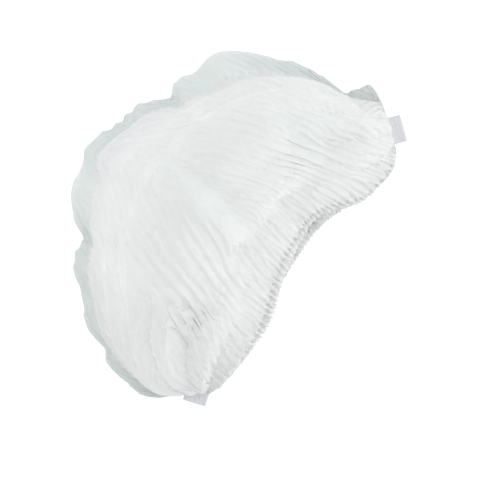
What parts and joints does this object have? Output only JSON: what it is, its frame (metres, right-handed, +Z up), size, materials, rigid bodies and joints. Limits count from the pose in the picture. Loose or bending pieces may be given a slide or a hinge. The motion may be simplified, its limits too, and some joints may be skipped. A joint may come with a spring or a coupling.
{
  "type": "disposable hair cover cap",
  "caption": "Pleated nonwoven hair cover cap pulled open on its side, welded at both ends, with an elastic thread in the hem along each lip of the mouth.",
  "frame": {"origin": "on the surface the cap rests on, under the middle of its bounding box", "axes": "+X from the left welded end to the right welded end, +Y from the mouth towards the crown of the dome, +Z up from the surface the cap lies on"},
  "size_m": [0.2804, 0.1876, 0.1124],
  "materials": {
    "spunbond": "matt",
    "hem": "matt",
    "elastic": "satin",
    "weld": "satin"
  },
  "bodies": {
    "root": {"crown": "spunbond", "hem_lower": "hem", "hem_upper": "hem", "elastic_lower": "elastic", "elastic_upper": "elastic", "end_seal_left": "weld", "end_seal_right": "weld"}
  },
  "joints": []
}
